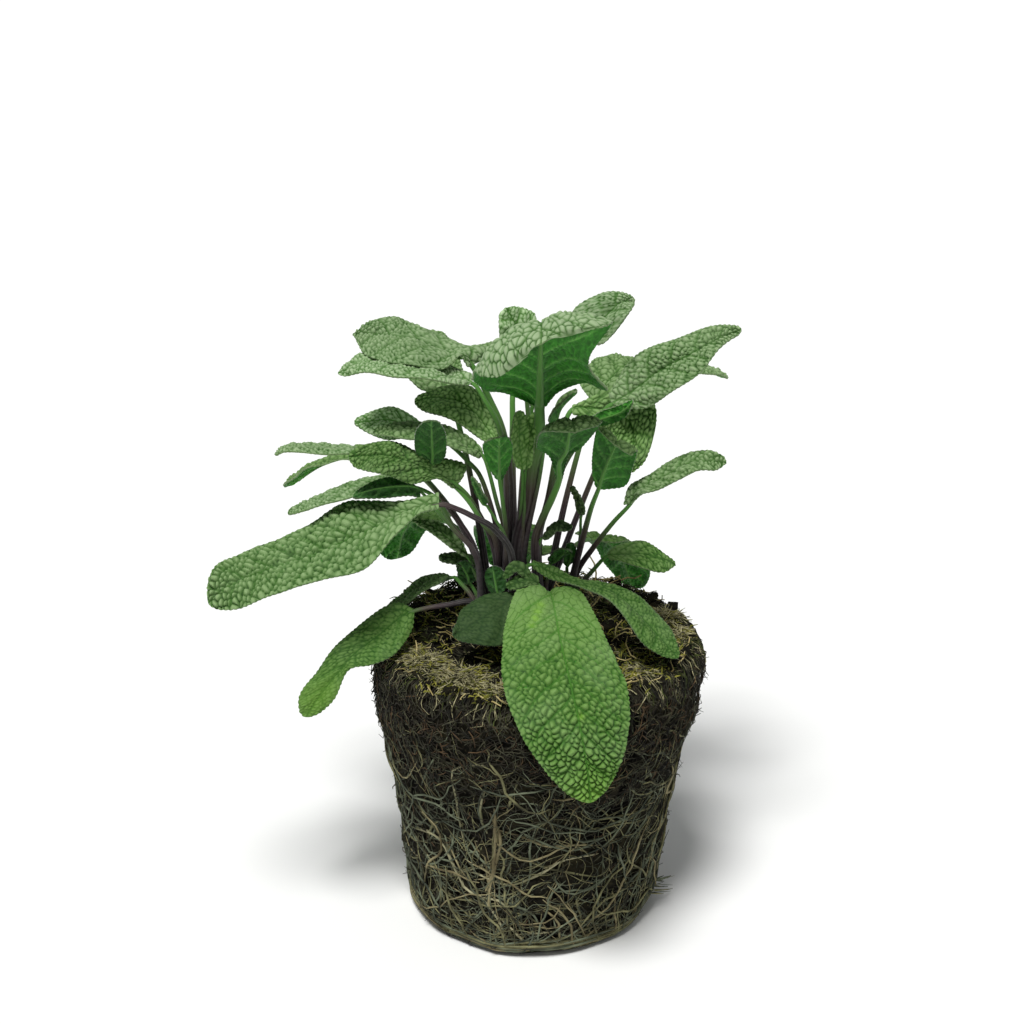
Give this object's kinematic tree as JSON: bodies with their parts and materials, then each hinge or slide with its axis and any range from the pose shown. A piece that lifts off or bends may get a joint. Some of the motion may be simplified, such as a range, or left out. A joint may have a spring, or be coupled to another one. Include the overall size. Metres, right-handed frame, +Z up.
{
  "type": "common sage plant with root ball",
  "caption": "Young common sage knocked out of its pot: leafy shoots with pebbled grey-green leaves standing in a tapered root ball of peat.",
  "frame": {"origin": "centre of the root ball's flat underside", "axes": "+Z up, -Y towards the front, over which the largest leaf hangs, +X to the right seen from the front"},
  "size_m": [0.1597, 0.1398, 0.211],
  "materials": {
    "root_ball": "dark crumbly peat laced with khaki roots",
    "sage": "felted grey-green leaves, purple-brown stalks"
  },
  "bodies": {
    "root": {"root_ball": "root_ball", "centre_shoot": "sage", "upper_left_shoot": "sage", "middle_left_shoot": "sage", "long_left_shoot": "sage", "lower_left_shoot": "sage", "trailing_left_leaves": "sage", "front_hanging_leaf": "sage", "front_right_leaf": "sage", "inner_right_shoot": "sage", "outer_right_shoot": "sage", "back_left_shoot": "sage", "back_shoot": "sage", "back_right_shoot": "sage"}
  },
  "joints": []
}
